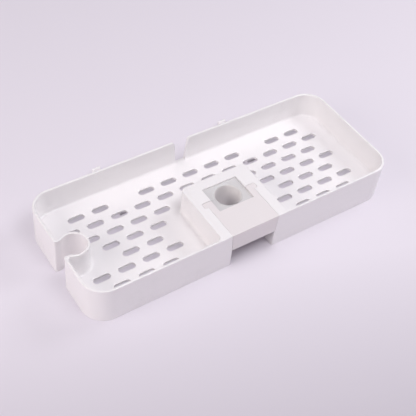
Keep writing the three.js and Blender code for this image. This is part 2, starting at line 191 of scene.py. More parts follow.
class Form:
    """A closed solid in millimetres, kept as a scratch object until it becomes a piece."""

    def __init__(self, work: bmesh.types.BMesh) -> None:
        """Puts a mesh into the scene as a scratch object.

        Args:
            work: The mesh's working copy, which is used up.
        """
        mesh = bpy.data.meshes.new("form")
        work.to_mesh(mesh)
        work.free()
        self.object = in_scene("form", mesh)

    @classmethod
    def loft(cls, rings: Sequence[Sequence[Vector]]) -> "Form":
        """Skins a row of rings with equally many points and closes both ends.

        Args:
            rings: The rings, in order.

        Returns:
            The closed form.
        """
        work = bmesh.new()
        rows = [[work.verts.new(point) for point in ring] for ring in rings]
        for low, high in zip(rows, rows[1:]):
            for i in range(len(low)):
                j = (i + 1) % len(low)
                work.faces.new((low[i], low[j], high[j], high[i]))
        work.faces.new(list(reversed(rows[0])))
        work.faces.new(rows[-1])
        bmesh.ops.recalc_face_normals(work, faces=work.faces)
        return cls(work)

    @classmethod
    def block(cls, x0: float, x1: float, y0: float, y1: float, z0: float, z1: float) -> "Form":
        """Returns a box between two corners."""
        plan = rectangle(x0, x1, y0, y1)
        return cls.loft([level(plan, z0), level(plan, z1)])

    @classmethod
    def pair(cls, x0: float, x1: float, *rest: float) -> "Form":
        """Returns a box right of the rod's axis together with its mirror image."""
        return cls.block(x0, x1, *rest).join(cls.block(-x1, -x0, *rest))

    @classmethod
    def turned(cls, profile: Iterable[Point], x: float = 0.0, y: float = 0.0) -> "Form":
        """Returns a profile of radius and height pairs, turned about an upright axis."""
        return cls.loft([level(circle(x, y, radius), z) for radius, z in profile])

    @classmethod
    def along_y(cls, outline: Sequence[Point], y0: float, y1: float) -> "Form":
        """Returns an outline in X and Z, extruded along Y."""
        return cls.loft([upright(outline, y0), upright(outline, y1)])

    @classmethod
    def flared(cls, outline: Callable[[float], list[Point]], low: float, top: float, edge: float) -> "Form":
        """Makes a form to be cut away, whose outline grows over a rounded upper edge.

        Args:
            outline: Draws the outline in plan, larger all round by what it is given.
            low: The height of the form's foot.
            top: The height of the face that it is cut into.
            edge: The radius of the rounded edge.

        Returns:
            The form, which goes on above the face.
        """
        rings = [level(outline(0), low)]
        rings += [level(outline(inset), top - edge + rise) for inset, rise in rounding(edge)]
        rings.append(level(outline(edge), top + OVERRUN))
        return cls.loft(rings)

    def join(self, *others: "Form") -> "Form":
        """Adds other forms to this one."""
        return self._blend(Blend.JOIN, others)

    def cut(self, *others: "Form") -> "Form":
        """Takes other forms out of this one."""
        return self._blend(Blend.CUT, others)

    def keep(self, other: "Form") -> "Form":
        """Keeps only what lies in another form too."""
        return self._blend(Blend.KEEP, (other,))

    def _blend(self, how: Blend, others: Sequence["Form"]) -> "Form":
        """Joins, cuts or trims with other forms, which are used up.

        Args:
            how: What is done with the other forms.
            others: The other forms.

        Returns:
            This form.
        """
        for other in others:
            self.modify("BOOLEAN", operation=how.value, solver="MANIFOLD", object=other.object)
            other.discard()
        return self

    def bevel(self, width: float, segments: int = 2) -> "Form":
        """Softens the sharp edges.

        Args:
            width: The width of the softened edge.
            segments: The number of faces across it.

        Returns:
            This form.
        """
        self.tidy()
        self.modify(
            "BEVEL",
            width=width,
            segments=segments,
            limit_method="ANGLE",
            angle_limit=math.radians(SHARP_TURN),
            use_clamp_overlap=True,
            miter_outer="MITER_ARC",
        )
        return self

    def tidy(self) -> None:
        """Merges doubled points and joins faces that lie in one plane."""
        work = bmesh.new()
        work.from_mesh(self.object.data)
        bmesh.ops.remove_doubles(work, verts=work.verts, dist=WELD)
        bmesh.ops.dissolve_degenerate(work, edges=work.edges, dist=WELD)
        turn = math.radians(FLAT_TURN)
        bmesh.ops.dissolve_limit(work, angle_limit=turn, verts=work.verts, edges=work.edges)
        work.to_mesh(self.object.data)
        work.free()

    def modify(self, kind: str, **settings: object) -> None:
        """Applies a modifier.

        Args:
            kind: The modifier's type.
            settings: Its properties.
        """
        modifier = self.object.modifiers.new(kind, kind)
        for key, value in settings.items():
            setattr(modifier, key, value)
        self.freeze()

    def freeze(self) -> None:
        """Turns the result of the object's modifiers into its plain mesh."""
        graph = bpy.context.evaluated_depsgraph_get()
        made = bpy.data.meshes.new_from_object(self.object.evaluated_get(graph))
        self.object.modifiers.clear()
        old = self.object.data
        self.object.data = made
        bpy.data.meshes.remove(old)

    def discard(self) -> None:
        """Removes the scratch object and its mesh."""
        mesh = self.object.data
        bpy.data.objects.remove(self.object)
        bpy.data.meshes.remove(mesh)

    def finish(
        self, name: str, material: bpy.types.Material, body: Body, node: str, slot: MaterialSlot
    ) -> bpy.types.Object:
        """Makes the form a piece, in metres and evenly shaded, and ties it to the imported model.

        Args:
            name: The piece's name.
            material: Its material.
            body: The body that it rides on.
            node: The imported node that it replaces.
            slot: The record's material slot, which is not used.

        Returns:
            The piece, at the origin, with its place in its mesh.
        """
        piece = self.object
        piece.name = name
        piece.data.transform(Matrix.Scale(MM, 4))
        piece.data.materials.clear()
        piece.data.materials.append(material)
        piece.data.shade_smooth()
        piece.data.set_sharp_from_angle(angle=math.radians(SMOOTH_TURN))
        self.modify("WEIGHTED_NORMAL", keep_sharp=True)
        piece.data.name = name
        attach(piece, body.value)
        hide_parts(node)
        return piece


def math_node(operation: str, swapped: bool = False) -> Callable[..., "Wire"]:
    """Makes a method that adds a Math node to a wire's tree.

    Args:
        operation: What the node works out.
        swapped: Whether the wire is the node's last value, not its first.

    Returns:
        The method, which takes the other values and returns the node's result.
    """

    def method(wire: "Wire", *others: Operand) -> "Wire":
        """Adds the node and returns its result."""
        values = (*others, wire) if swapped else (wire, *others)
        return wire.tree.wire("ShaderNodeMath", 0, dict(enumerate(values)), operation=operation)

    return method


class Wire:
    """A socket whose arithmetic adds Math nodes to its tree."""

    __add__ = __radd__ = math_node("ADD")
    __sub__ = math_node("SUBTRACT")
    __rsub__ = math_node("SUBTRACT", swapped=True)
    __mul__ = __rmul__ = math_node("MULTIPLY")
    __mod__ = math_node("MODULO")
    __abs__ = math_node("ABSOLUTE")
    least = math_node("MINIMUM")
    most = math_node("MAXIMUM")
    below = math_node("LESS_THAN")

    def __init__(self, tree: "Tree", socket: bpy.types.NodeSocket) -> None:
        """Wraps a socket of a tree."""
        self.tree = tree
        self.socket = socket

    def ramp(self, start: float, reach: float) -> "Wire":
        """Rises evenly from zero at a start to one where the reach ends."""
        return ((self - start) * (1 / reach)).most(0.0).least(1.0)


class Tree:
    """A node tree that is built by short calls."""

    def __init__(self, tree: bpy.types.NodeTree) -> None:
        """Takes a tree and empties it."""
        self.tree = tree
        tree.nodes.clear()

    def add(self, kind: str, inputs: Optional[dict] = None, **settings: str) -> bpy.types.Node:
        """Adds a node, sets it up and fills its sockets.

        Args:
            kind: The node's type.
            inputs: Values or wires for its input sockets, by name or number.
            settings: Properties of the node, set before its sockets.

        Returns:
            The new node.
        """
        node = self.tree.nodes.new(kind)
        for key, value in settings.items():
            setattr(node, key, value)
        for key, value in (inputs or {}).items():
            if isinstance(value, Wire):
                self.tree.links.new(value.socket, node.inputs[key])
            else:
                node.inputs[key].default_value = value
        return node

    def wire(
        self, kind: str, output: Union[str, int], inputs: Optional[dict] = None, **settings: str
    ) -> Wire:
        """Adds a node and returns one of its outputs as a wire."""
        return Wire(self, self.add(kind, inputs, **settings).outputs[output])

    def noise(self, place: Wire, scale: float, detail: float) -> Wire:
        """Returns a noise over a surface."""
        return self.wire("ShaderNodeTexNoise", "Fac", {"Vector": place, "Scale": scale, "Detail": detail})

    def bump(self, height: Wire, depth: float, strength: float) -> Wire:
        """Returns the normal of a surface with a fine grain."""
        inputs = {"Strength": strength, "Distance": depth, "Height": height}
        return self.wire("ShaderNodeBump", "Normal", inputs)

    def mix(self, share: Wire, start: Union[Wire, Colour], end: Colour) -> Wire:
        """Goes from one colour to another.

        Args:
            share: The share of the second colour.
            start: The first colour.
            end: The second colour.

        Returns:
            The mixed colour.
        """
        first = start if isinstance(start, Wire) else (*start, 1)
        inputs = {MIX_SHARE: share, MIX_START: first, MIX_END: (*end, 1)}
        return self.wire("ShaderNodeMix", MIX_RESULT, inputs, data_type="RGBA")


@dataclass(frozen=True)
class Finish:
    """A node material whose colour drifts between two tones."""

    name: str
    colour: Colour
    drift_colour: Colour

    def shader(self, tree: Tree, place: Wire) -> Wire:
        """Adds the nodes of the surface.

        Args:
            tree: The material's tree.
            place: The place on the surface.

        Returns:
            The surface's shader.
        """
        raise NotImplementedError

    def material(self) -> bpy.types.Material:
        """Builds the finish.

        Returns:
            Its node material.
        """
        material = bpy.data.materials.new(self.name)
        material.use_nodes = True
        tree = Tree(material.node_tree)
        shader = self.shader(tree, tree.wire("ShaderNodeTexCoord", "Object"))
        tree.add("ShaderNodeOutputMaterial", {"Surface": shader})
        return material


@dataclass(frozen=True)
class MouldedPlastic(Finish):
    """Satin injection-moulded plastic: a faint flow cloudiness, a fine eroded grain and uneven gloss."""

    roughness: float = 0.3
    roughness_spread: float = 0.12
    cloud_scale: float = 24.0
    cloud_detail: float = 3.0
    grain_scale: float = 2400.0
    grain_detail: float = 2.0
    grain_depth: float = 0.00001
    grain_strength: float = 0.35
    coat: float = 0.25
    coat_roughness: float = 0.12

    def shader(self, tree: Tree, place: Wire) -> Wire:
        """Adds the nodes of the plastic.

        Args:
            tree: The material's tree.
            place: The place on the surface.

        Returns:
            The plastic's shader.
        """
        cloud = tree.noise(place, self.cloud_scale, self.cloud_detail)
        grain = tree.noise(place, self.grain_scale, self.grain_detail)
        uneven = (cloud + grain - 2 * NOISE_MEAN) * self.roughness_spread
        looks = {
            "Base Color": tree.mix(cloud, self.colour, self.drift_colour),
            "Roughness": self.roughness + uneven,
            "Normal": tree.bump(grain, self.grain_depth, self.grain_strength),
            "Coat Weight": self.coat,
            "Coat Roughness": self.coat_roughness,
        }
        return tree.wire("ShaderNodeBsdfPrincipled", 0, looks)


@dataclass(frozen=True)
class SoftGrip(Finish):
    """Dull soft rubber with a fine powdery grain; its bore is painted paler, a painted light for light
    reaching into it.
    """

    # Painted light: the paler colour painted inside the rod's bore, and where that painting starts and fades
    # out
    painted_bore_light: Colour
    painted_light_radius: float = 0.0129
    painted_light_fade: float = 0.001
    roughness: float = 0.58
    roughness_spread: float = 0.16
    dust_scale: float = 420.0
    dust_detail: float = 4.0
    grain_scale: float = 1900.0
    grain_detail: float = 1.0
    grain_depth: float = 0.00002
    grain_strength: float = 0.5

    def shader(self, tree: Tree, place: Wire) -> Wire:
        """Adds the nodes of the rubber and of the painted light in its bore.

        Args:
            tree: The material's tree.
            place: The place on the surface.

        Returns:
            The rubber's shader.
        """
        dust = tree.noise(place, self.dust_scale, self.dust_detail)
        grain = tree.noise(place, self.grain_scale, self.grain_detail)
        plan = tree.wire("ShaderNodeVectorMath", 0, {0: place, 1: (1, 1, 0)}, operation="MULTIPLY")
        radius = tree.wire("ShaderNodeVectorMath", "Value", {0: plan}, operation="LENGTH")
        # Painted light: within the bore's radius the rubber is painted paler, standing in for light that
        # reaches down the bore
        inside = (self.painted_light_radius - radius).ramp(0, self.painted_light_fade)
        outside = tree.mix(dust, self.colour, self.drift_colour)
        looks = {
            "Base Color": tree.mix(inside, outside, self.painted_bore_light),
            "Roughness": self.roughness + (dust - NOISE_MEAN) * self.roughness_spread,
            "Normal": tree.bump(grain, self.grain_depth, self.grain_strength),
        }
        return tree.wire("ShaderNodeBsdfPrincipled", 0, looks)


@dataclass(frozen=True)
class PaperTable(Finish):
    """The matt paper that the object stands on, seen with a share of pale backdrop, with a painted light
    falloff and a painted shadow.
    """

    backdrop: Colour
    # Painted light falloff: the darker colour that the backdrop is painted towards on the near side
    painted_falloff_backdrop: Colour
    backdrop_share: float = 0.47
    # Painted shadow under the clamp: the patch of paper, in metres, that is left without its share of
    # backdrop so that it stays dark
    painted_shadow_half: float = 0.0265
    painted_shadow_rear: float = -0.054
    painted_shadow_front: float = 0.025
    painted_shadow_edge: float = 0.002
    painted_shadow_fade: float = 0.011
    # Painted light falloff: the way towards the near side, and where the painted darkening starts and is
    # complete
    painted_falloff_way: tuple[float, float, float] = (-0.3, -0.954, 0.0)
    painted_falloff_start: float = 0.06
    painted_falloff_reach: float = 0.2
    cloud_scale: float = 1.3
    cloud_detail: float = 1.0
    roughness: float = 0.9
    gloss: float = 0.2

    def shader(self, tree: Tree, place: Wire) -> Wire:
        """Adds the nodes of the paper and of the backdrop, with its painted falloff and painted shadow.

        Args:
            tree: The material's tree.
            place: The place on the surface.

        Returns:
            Both, mixed.
        """
        cloud = tree.noise(place, self.cloud_scale, self.cloud_detail)
        looks = {
            "Base Color": tree.mix(cloud, self.colour, self.drift_colour),
            "Roughness": self.roughness,
            "Specular IOR Level": self.gloss,
        }
        paper = tree.wire("ShaderNodeBsdfPrincipled", 0, looks)

        # Painted light falloff: the backdrop is painted darker towards the near side, as if the light faded
        # there
        sides = {0: place, 1: self.painted_falloff_way}
        toward = tree.wire("ShaderNodeVectorMath", "Value", sides, operation="DOT_PRODUCT")
        painted_falloff = toward.ramp(self.painted_falloff_start, self.painted_falloff_reach)
        tone = tree.mix(painted_falloff, self.backdrop, self.painted_falloff_backdrop)
        plain = tree.wire("ShaderNodeEmission", 0, {"Color": tone})

        path = tree.add("ShaderNodeLightPath")
        rays = [Wire(tree, path.outputs[f"Is {kind} Ray"]) for kind in ("Camera", "Glossy", "Transmission")]
        # Painted shadow under the clamp: there the paper is left without its share of bright backdrop, so
        # that it stays dark
        spot = tree.add("ShaderNodeSeparateXYZ", {0: place})
        x, y = (Wire(tree, spot.outputs[axis]) for axis in ("X", "Y"))
        inward = (self.painted_shadow_half - abs(x)).least(self.painted_shadow_front - y)
        painted_shadow = inward.ramp(0, self.painted_shadow_edge) * y.ramp(self.painted_shadow_rear, self.painted_shadow_fade)
        share = rays[0].most(rays[1]).most(rays[2]) * (1 - painted_shadow) * self.backdrop_share
        return tree.wire("ShaderNodeMixShader", 0, {0: share, 1: paper, 2: plain})


WHITE_PLASTIC = MouldedPlastic("white plastic", (0.93, 0.905, 0.915), (0.945, 0.92, 0.93))
WARM_PLASTIC = MouldedPlastic(
    "warm white plastic", (0.836, 0.788, 0.796), (0.861, 0.813, 0.821), roughness=0.45, coat=0.04
)
# The grip's third colour is painted light: the paler tone painted inside the rod's bore
GREY_GRIP = SoftGrip("grey grip", (0.66, 0.645, 0.65), (0.69, 0.675, 0.68), painted_bore_light=(0.93, 0.9, 0.895))
PALE_TABLE = PaperTable(
    "pale table",
    (0.79, 0.74, 0.815),
    (0.82, 0.77, 0.84),
    backdrop=(0.82, 0.76, 0.85),
    # The dark colour that the backdrop is painted towards on the near side: a painted light falloff
    painted_falloff_backdrop=(0.28, 0.25, 0.3),
)


@dataclass(frozen=True)
class Clamp:
    """Sizes that the tray's housing, the lock block and the grip pads share."""

    top: float
    foot: float
    rear: float
    split: float
    ear_tip: float
    pad_half: float
    pad_far: float
    front_low: float
    rear_low: float
    pad_top: float
    bore: float = 24.0
    lip: float = 1.8
    half_top: float = 24.3
    half_foot: float = 22.5
    ear_length: float = 6.0
    ear_height: float = 8.0
    ear_round: float = 2.0
    relief: float = 1.5
    wall: float = 2.4
    shelf: float = 2.4
    rib: float = 2.0

    @classmethod
    def from_frame(cls) -> "Clamp":
        """Reads the lock block's and the pads' places from the frame.

        Returns:
            The sizes.
        """
        block_low, block_high = box_of("lock_block")
        front_low, front_high = box_of("front_grip_pad")
        rear_low, _ = box_of("rear_grip_pad")
        return cls(
            top=block_high.z,
            foot=block_low.z,
            rear=block_low.y,
            split=-block_high.y,
            ear_tip=block_high.x,
            pad_half=front_high.x,
            pad_far=front_high.y,
            front_low=front_low.z,
            rear_low=rear_low.z,
            pad_top=front_high.z,
        )

    @property
    def cheek(self) -> float:
        """Returns how far out the walls beside the block reach."""
        return self.half_top + FIT + self.wall

    @property
    def ear_seat(self) -> float:
        """Returns the height that the ears stand on."""
        return self.top - self.ear_height

    @property
    def pocket(self) -> Point:
        """Returns the pad pockets' half width and depth."""
        return self.pad_half + FIT, self.pad_far + FIT

    def wedge(self, gap: float, rise: float) -> list[Point]:
        """Draws the block's taper in X and Z.

        Args:
            gap: How far the outline stands outside the block.
            rise: How far it goes on above the rim.

        Returns:
            The taper's four corners.
        """
        lean = (self.half_top - self.half_foot) / (self.top - self.foot)
        top = self.half_top + gap + lean * rise
        foot = self.half_foot + gap
        return [(-foot, self.foot), (foot, self.foot), (top, self.top + rise), (-top, self.top + rise)]

    def ear_bar(self, gap: float, rise: float) -> Form:
        """Makes the bar across the block whose ends are its ears, or the pocket that it drops into.

        Args:
            gap: How far the form stands outside the bar.
            rise: How far it goes on above the rim.

        Returns:
            The bar.
        """
        plan = rounded(self.ear_tip + gap, -self.ear_length - gap, gap - self.split, self.ear_round + gap)
        return Form.loft([level(plan, self.ear_seat - gap), level(plan, self.top + rise)])

    def rod_relief(self, low: float) -> Form:
        """Returns the hole for the rod through the shelf below a pad whose underside is at low."""
        radius = self.bore / 2 + self.relief
        return Form.turned([(radius, -OVERRUN), (radius, low - FIT + OVERRUN)])


@dataclass(frozen=True)
class DrainPattern:
    """Staggered drain slots, left out where they come too close to what stands on the floor."""

    middle: float
    floor_top: float
    floor_thickness: float
    length: float = 16.0
    width: float = 6.2
    pitch: float = 24.0
    row_spacing: float = 14.0
    rows: int = 7
    columns: int = 15
    margin: float = 6.0
    edge: float = 0.5

    @property
    def reach(self) -> float:
        """Returns the distance from a slot's middle to the centres of its round ends."""
        return (self.length - self.width) / 2

    def outline(self, grow: float) -> list[Point]:
        """Draws a slot round the origin.

        Args:
            grow: How much larger it is all round.

        Returns:
            The outline's points, anticlockwise.
        """
        radius = self.width / 2 + grow
        right = arc(self.reach, 0, radius, -QUARTER, QUARTER)
        left = arc(-self.reach, 0, radius, QUARTER, 3 * QUARTER)
        return right + left

    def wire_up(self, group: bpy.types.NodeTree) -> None:
        """Fills the tree that cuts the slots into a shell.

        Args:
            group: The tree, with its inputs and its output.
        """
        tree = Tree(group)
        get = {output.name: Wire(tree, output) for output in tree.add("NodeGroupInput").outputs}
        size = {
            "Size X": (get["Columns"] - 1) * get["Pitch"],
            "Size Y": (get["Rows"] - 1) * get["Row Spacing"],
            "Vertices X": get["Columns"],
            "Vertices Y": get["Rows"],
        }
        grid = tree.wire("GeometryNodeMeshGrid", "Mesh", size)
        row = tree.wire("GeometryNodeInputIndex", 0) % get["Rows"]
        stagger = (row % 2) * get["Pitch"] * 0.5
        shift = tree.wire("ShaderNodeCombineXYZ", 0, {"X": stagger, "Y": get["Middle"]})
        places = tree.wire("GeometryNodeSetPosition", 0, {"Geometry": grid, "Offset": shift})

        clear = tree.wire("GeometryNodeObjectInfo", "Geometry", {"Object": get["Keep Clear"]})
        here = tree.wire("GeometryNodeInputPosition", 0)
        distances = []
        for side in (-1, 0, 1):
            step = tree.wire("ShaderNodeCombineXYZ", 0, {"X": get["Reach"] * side})
            point = tree.wire("ShaderNodeVectorMath", 0, {0: here, 1: step}, operation="ADD")
            sample = {"Geometry": clear, "Sample Position": point}
            distances.append(tree.wire("GeometryNodeProximity", "Distance", sample, target_element="FACES"))
        left, centre, right = distances
        crowded = left.least(centre).least(right).below(get["Room"])
        dropped = {"Geometry": places, "Selection": crowded}
        kept = tree.wire("GeometryNodeDeleteGeometry", 0, dropped, domain="POINT")

        slot = tree.wire("GeometryNodeObjectInfo", "Geometry", {"Object": get["Slot Form"]})
        slots = tree.wire("GeometryNodeInstanceOnPoints", 0, {"Points": kept, "Instance": slot})
        meshes = {"Mesh 1": get["Shell"], "Mesh 2": slots}
        drained = tree.wire(
            "GeometryNodeMeshBoolean", "Mesh", meshes, operation="DIFFERENCE", solver="MANIFOLD"
        )
        whole = tree.wire("GeometryNodeRealizeInstances", 0, {"Geometry": drained})
        dressed = {"Geometry": whole, "Material": get["Finish"]}
        tree.add("NodeGroupOutput", {"Tray": tree.wire("GeometryNodeSetMaterial", 0, dressed)})

    def drain(self, shell: Form, keep_clear: Form, finish: bpy.types.Material) -> None:
        """Cuts the slots into a shell.

        Args:
            shell: The tray before its slots are cut.
            keep_clear: Flat faces at height zero that the slots keep their distance from.
            finish: The tray's material.
        """
        low = self.floor_top - self.floor_thickness - OVERRUN
        slot = Form.flared(self.outline, low, self.floor_top, self.edge)
        given = {
            "Slot Form": ("Object", slot.object),
            "Keep Clear": ("Object", keep_clear.object),
            "Pitch": ("Float", self.pitch),
            "Row Spacing": ("Float", self.row_spacing),
            "Rows": ("Int", self.rows),
            "Columns": ("Int", self.columns),
            "Middle": ("Float", self.middle),
            "Reach": ("Float", self.reach),
            "Room": ("Float", self.margin + self.width / 2),
            "Finish": ("Material", finish),
        }
        group = bpy.data.node_groups.new("drain slots", "GeometryNodeTree")
        group.is_modifier = True
        sockets = group.interface
        sockets.new_socket("Tray", in_out="OUTPUT", socket_type="NodeSocketGeometry")
        sockets.new_socket("Shell", in_out="INPUT", socket_type="NodeSocketGeometry")
        values = {}
        for name, (kind, value) in given.items():
            socket = sockets.new_socket(name, in_out="INPUT", socket_type="NodeSocket" + kind)
            values[socket.identifier] = value
        self.wire_up(group)
        modifier = shell.object.modifiers.new("drain slots", "NODES")
        modifier.node_group = group
        for identifier, value in values.items():
            modifier[identifier] = value
        shell.freeze()
        slot.discard()
        keep_clear.discard()
        bpy.data.node_groups.remove(group)


@dataclass(frozen=True)
class Hooks:
    """Two flat hooks that plug into sleeves under the front wall."""

    place: float
    half: float
    rear: float
    tip: float
    low: float
    top: float
    thickness: float = 2.6
    bend: float = 1.6
    edge: float = 0.7

    @classmethod
    def from_frame(cls) -> "Hooks":
        """Reads the right hook's place from the frame.

        Returns:
            The hooks.
        """
        low, high = box_of("right_hook")
        return cls(
            place=(low.x + high.x) / 2,
            half=(high.x - low.x) / 2,
            rear=low.y,
            tip=high.y,
            low=low.z,
            top=high.z,
        )

    @property
    def bar_top(self) -> float:
        """Returns the height of the bar's upper face."""
        return self.low + self.thickness

    def profile(self) -> list[Point]:
        """Draws the hook from the side.

        Returns:
            The outline's points in Y and Z.
        """
        outer = self.bend + self.thickness
        round_end = self.thickness / 2
        points = [(self.rear, self.low)]
        points += arc(self.tip - outer, self.low + outer, outer, -QUARTER, 0)
        points += arc(self.tip - round_end, self.top - round_end, round_end, 0, math.pi)
        points += arc(self.tip - outer, self.low + outer, self.bend, 0, -QUARTER)
        points.append((self.rear, self.bar_top))
        return points

    def build(self) -> list[bpy.types.Object]:
        """Builds and dresses both hooks.

        Returns:
            The left and the right hook.
        """
        material = WHITE_PLASTIC.material()
        pieces = []
        for name, side in (("left_hook", -1), ("right_hook", 1)):
            ends = (side * self.place - self.half, side * self.place + self.half)
            bar = Form.loft([[Vector((x, y, z)) for y, z in self.profile()] for x in ends])
            bar.bevel(self.edge, segments=3)
            pieces.append(bar.finish("plug_in_" + name, material, Body.CARRIER, name, MaterialSlot.WHITE))
        return pieces


@dataclass(frozen=True)
class Tray:
    """The tray moulding: walls, perforated floor, clamp housing, C-ring and hook sleeves."""

    clamp: Clamp
    hooks: Hooks
    half_length: float
    rear: float
    front: float
    height: float
    corner: float = 20.7
    wall: float = 2.4
    floor_top: float = 12.6
    floor_thickness: float = 2.4
    floor_fillet: float = 2.2
    rim_round: float = 0.9
    foot_round: float = 0.5
    way_edge: float = 0.6
    housing_half: float = 34.5
    housing_front: float = 25.0
    housing_corner: float = 5.0
    housing_heel: float = 4.0
    ring_bore: float = 22.8
    ring_wall: float = 2.0
    ring_inset: float = 13.7
    ring_offset: float = -4.0
    ring_flare: float = 3.0
    ring_edge: float = 0.7
    web_fillet: float = 2.5
    slit_half: float = 8.7
    slit_round: float = 2.4
    slit_edge: float = 1.9
    notch_top: float = 7.8
    notch_foot: float = 5.1
    notch_round: float = 4.0
    sleeve_length: float = 24.0
    sleeve_wall: float = 1.8
    slot_shift: float = -0.8

    @classmethod
    def from_frame(cls, clamp: Clamp, hooks: Hooks) -> "Tray":
        """Reads the tray's overall size from the frame."""
        low, high = box_of("tray")
        return cls(clamp, hooks, half_length=high.x, rear=low.y, front=high.y, height=high.z)

    @property
    def middle(self) -> float:
        """Returns the tray's middle in Y."""
        return (self.rear + self.front) / 2

    @property
    def floor_underside(self) -> float:
        """Returns the height of the floor's lower face."""
        return self.floor_top - self.floor_thickness

    @property
    def ring(self) -> Point:
        """Returns the C-ring's centre."""
        return self.ring_inset - self.half_length, self.middle + self.ring_offset

    @property
    def ring_radius(self) -> float:
        """Returns the C-ring's outer radius."""
        return self.ring_bore / 2 + self.ring_wall

    @property
    def sleeve_half(self) -> float:
        """Returns half the width of a hook's sleeve."""
        return self.hooks.half + FIT + self.sleeve_wall

    @property
    def sleeve_rear(self) -> float:
        """Returns the rear end of the hooks' sleeves."""
        return self.front - self.wall - self.sleeve_length

    def corners(self, inset: float) -> list[Point]:
        """Draws the walls in plan, drawn in by inset from their outer faces."""
        half = self.half_length - inset
        return rounded(half, self.rear + inset, self.front - inset, self.corner - inset)

    def bin_outline(self, inset: float) -> list[Point]:
        """Draws the inside of the walls in plan, round three sides of the clamp housing.

        Args:
            inset: How far the outline is drawn in from the walls' inner faces.

        Returns:
            The outline's points, anticlockwise.
        """
        heel = self.housing_heel - inset
        nose = self.housing_corner + inset
        heel_x = self.housing_half + self.housing_heel
        heel_y = self.rear + self.wall + self.housing_heel
        nose_x = self.housing_half - self.housing_corner
        nose_y = self.housing_front - self.housing_corner
        points = self.corners(self.wall + inset)
        points += arc(-heel_x, heel_y, heel, -QUARTER, 0)
        points += arc(-nose_x, nose_y, nose, 2 * QUARTER, QUARTER)
        points += arc(nose_x, nose_y, nose, QUARTER, 0)
        points += arc(heel_x, heel_y, heel, 2 * QUARTER, 3 * QUARTER)
        return points

    def outside(self) -> Form:
        """Makes the tray's outside, with its rounded foot and rim.

        Returns:
            A solid block.
        """
        foot = self.foot_round
        base = self.height - self.rim_round
        rings = [level(self.corners(foot - rise), inset) for inset, rise in rounding(foot)]
        rings += [level(self.corners(inset), base + rise) for inset, rise in rounding(self.rim_round)]
        return Form.loft(rings)

    def bin(self) -> Form:
        """Makes the room above the floor, with the floor's fillet and the rounded inner rim.

        Returns:
            The form that is cut away.
        """
        fillet = self.floor_fillet
        base = self.height - self.rim_round
        rings = [
            level(self.bin_outline(fillet - rise), self.floor_top + inset) for inset, rise in rounding(fillet)
        ]
        rings += [level(self.bin_outline(-inset), base + rise) for inset, rise in rounding(self.rim_round)]
        rings.append(level(self.bin_outline(-self.rim_round), self.height + OVERRUN))
        return Form.loft(rings)

    def underside(self) -> Form:
        """Returns the room below the floor."""
        plan = self.corners(self.wall)
        return Form.loft([level(plan, -OVERRUN), level(plan, self.floor_underside)])

    def housing_hollow(self) -> Form:
        """Makes the room inside the clamp housing.

        Returns:
            The form that is cut away.
        """
        half = self.housing_half - self.wall
        front = self.housing_front - self.wall
        return Form.block(-half, half, self.rear + self.wall, front, -OVERRUN, self.height - self.wall)

    def clamp_walls(self) -> list[Form]:
        """Makes what stands inside the clamp housing.

        Returns:
            The cheeks beside the block, the ear pockets' walls and the front pad's cradle.
        """
        clamp = self.clamp
        rib = clamp.rib
        inner = clamp.half_foot
        ear_rear = -clamp.ear_length - FIT - rib
        ear_low = clamp.ear_seat - FIT - rib
        face = clamp.split + rib
        foot = clamp.front_low - FIT - clamp.shelf
        pad_half, pad_far = clamp.pocket
        cheeks = Form.pair(inner, clamp.cheek, self.rear + self.wall / 2, face, 0, self.height)
        ears = Form.pair(inner, clamp.ear_tip + FIT + rib, ear_rear, face, ear_low, self.height)
        cradle = Form.block(-clamp.cheek, clamp.cheek, clamp.split, pad_far + clamp.wall, foot, self.height)
        cores = Form.pair(
            pad_half + rib, clamp.cheek - rib, face, pad_far, foot - OVERRUN, self.height - clamp.wall
        )
        return [cheeks, ears, cradle.cut(cores)]

    def block_way(self) -> Form:
        """Makes the way that the block drops into.

        Returns:
            The form that is cut away, rounded where it leaves the rear wall.
        """
        edge = self.way_edge
        steps = [(0.0, self.clamp.split)]
        steps += [(inset, self.rear + edge - rise) for inset, rise in rounding(edge)]
        steps.append((edge, self.rear - OVERRUN))
        rings = []
        for grow, y in steps:
            foot = self.clamp.half_foot + FIT + grow
            way = self.clamp.wedge(FIT + grow, OVERRUN)
            rings.append(upright([(-foot, -OVERRUN), (foot, -OVERRUN), *way[1:], way[0]], y))
        return Form.loft(rings)

    def clamp_cuts(self) -> list[Form]:
        """Makes what is cut out of the clamp housing.

        Returns:
            The forms for the block, its ears, the front pad and the rod.
        """
        clamp = self.clamp
        pad_half, pad_far = clamp.pocket
        pad = Form.block(-pad_half, pad_half, 0, pad_far, clamp.front_low - FIT, self.height + OVERRUN)
        return [self.block_way(), clamp.ear_bar(FIT, OVERRUN), pad, clamp.rod_relief(clamp.front_low)]

    def ring_post(self) -> Form:
        """Makes the C-ring's outside.

        Returns:
            A post that flares into the floor and is rounded at the rim.
        """
        radius = self.ring_radius
        flare = self.ring_flare
        profile = [(radius, 0.0), (radius, self.floor_underside), (radius + flare, self.floor_underside)]
        profile += [(radius + flare - rise, self.floor_top + inset) for inset, rise in rounding(flare)]
        base = self.height - self.ring_edge
        profile += [(radius - inset, base + rise) for inset, rise in rounding(self.ring_edge)]
        return Form.turned(profile, *self.ring)

